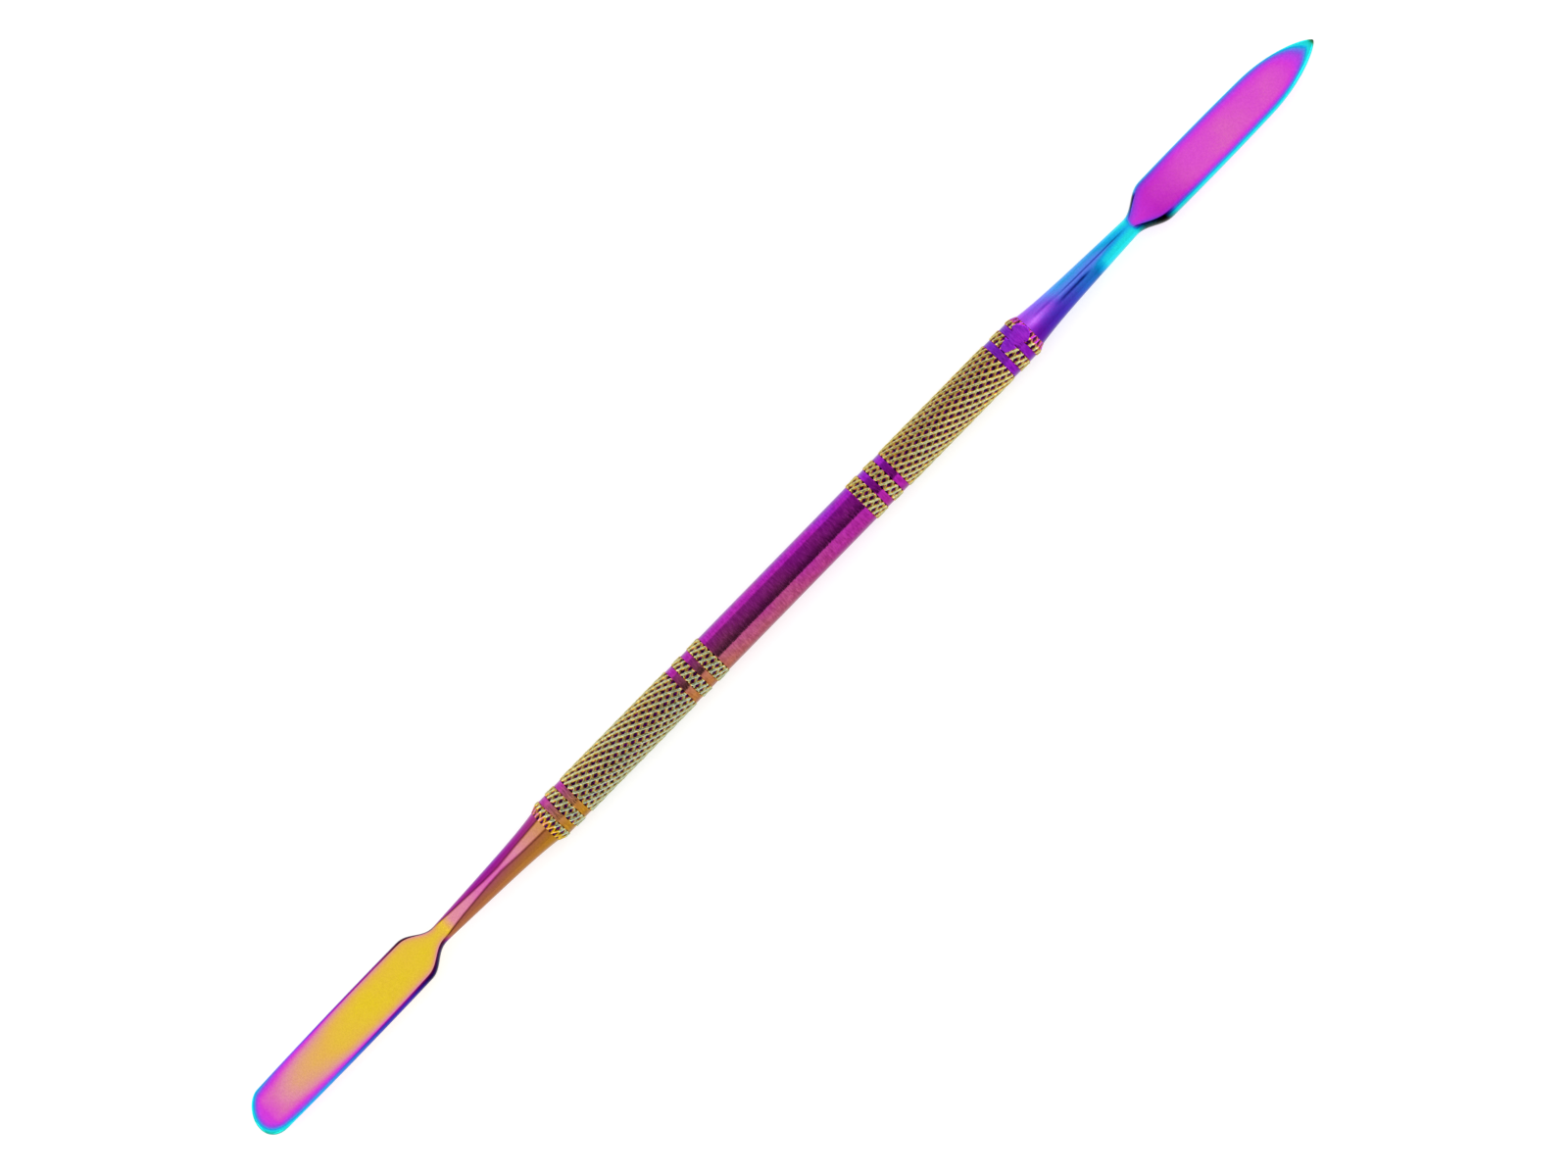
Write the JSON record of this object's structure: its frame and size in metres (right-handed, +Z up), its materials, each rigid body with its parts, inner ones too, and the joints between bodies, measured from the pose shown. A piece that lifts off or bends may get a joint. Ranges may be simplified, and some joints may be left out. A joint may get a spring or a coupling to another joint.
{
  "type": "cuticle pusher",
  "caption": "Double-ended cuticle pusher: a round handle with knurled bands, a flat round-ended blade at one end and a flat pointed blade at the other.",
  "frame": {"origin": "middle of the tool's length and width, at the height of what the handle rests on", "axes": "+X along the tool towards the pointed blade, +Z up out of the blades' upper faces, +Y across the blades"},
  "size_m": [0.1624, 0.0059, 0.005],
  "materials": {
    "coated_grip": "iridescent film over fine turning marks, gold on the knurl and violet between",
    "coated_round_blade": "polished steel with an iridescent film, gold turning magenta and blue at the edge",
    "coated_pointed_blade": "polished steel with an iridescent film, magenta turning blue and cyan at the edge"
  },
  "bodies": {
    "root": {"knurled_handle": "coated_grip", "round_blade": "coated_round_blade", "pointed_blade": "coated_pointed_blade"}
  },
  "joints": []
}
